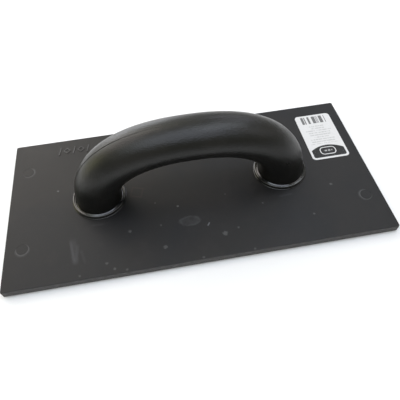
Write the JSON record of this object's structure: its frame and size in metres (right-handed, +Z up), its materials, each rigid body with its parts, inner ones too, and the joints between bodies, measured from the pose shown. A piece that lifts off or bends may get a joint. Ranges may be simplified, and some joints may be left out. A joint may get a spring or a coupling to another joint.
{
  "type": "hand float",
  "caption": "Flat moulded plastic plasterer's hand float with a hollow arched handle set in collars along the middle of the board.",
  "frame": {"origin": "centre of the working face, on that face", "axes": "+X along the board's length, +Y across the board to the rear, +Z up from the working face through the handle"},
  "size_m": [0.27, 0.13, 0.0684],
  "materials": {
    "board_plastic": "matt moulded, dusty and lightly marked",
    "handle_plastic": "satin moulded with a fine grain",
    "collar_plastic": "glossy moulded",
    "insert_nylon": "natural nylon",
    "zinc_steel": "bright zinc plated",
    "plug_plastic": "matt moulded",
    "label_film": "semi-matt white film with black print"
  },
  "bodies": {
    "root": {"float_board": "board_plastic", "handle_front_half": "handle_plastic", "handle_rear_half": "handle_plastic", "left_foot_collar": "collar_plastic", "right_foot_collar": "collar_plastic", "left_foot_insert": "insert_nylon", "right_foot_insert": "insert_nylon", "left_fixing_screw": "zinc_steel", "right_fixing_screw": "zinc_steel", "left_washer": "zinc_steel", "right_washer": "zinc_steel", "left_screw_plug": "plug_plastic", "right_screw_plug": "plug_plastic", "label": "label_film"}
  },
  "joints": []
}
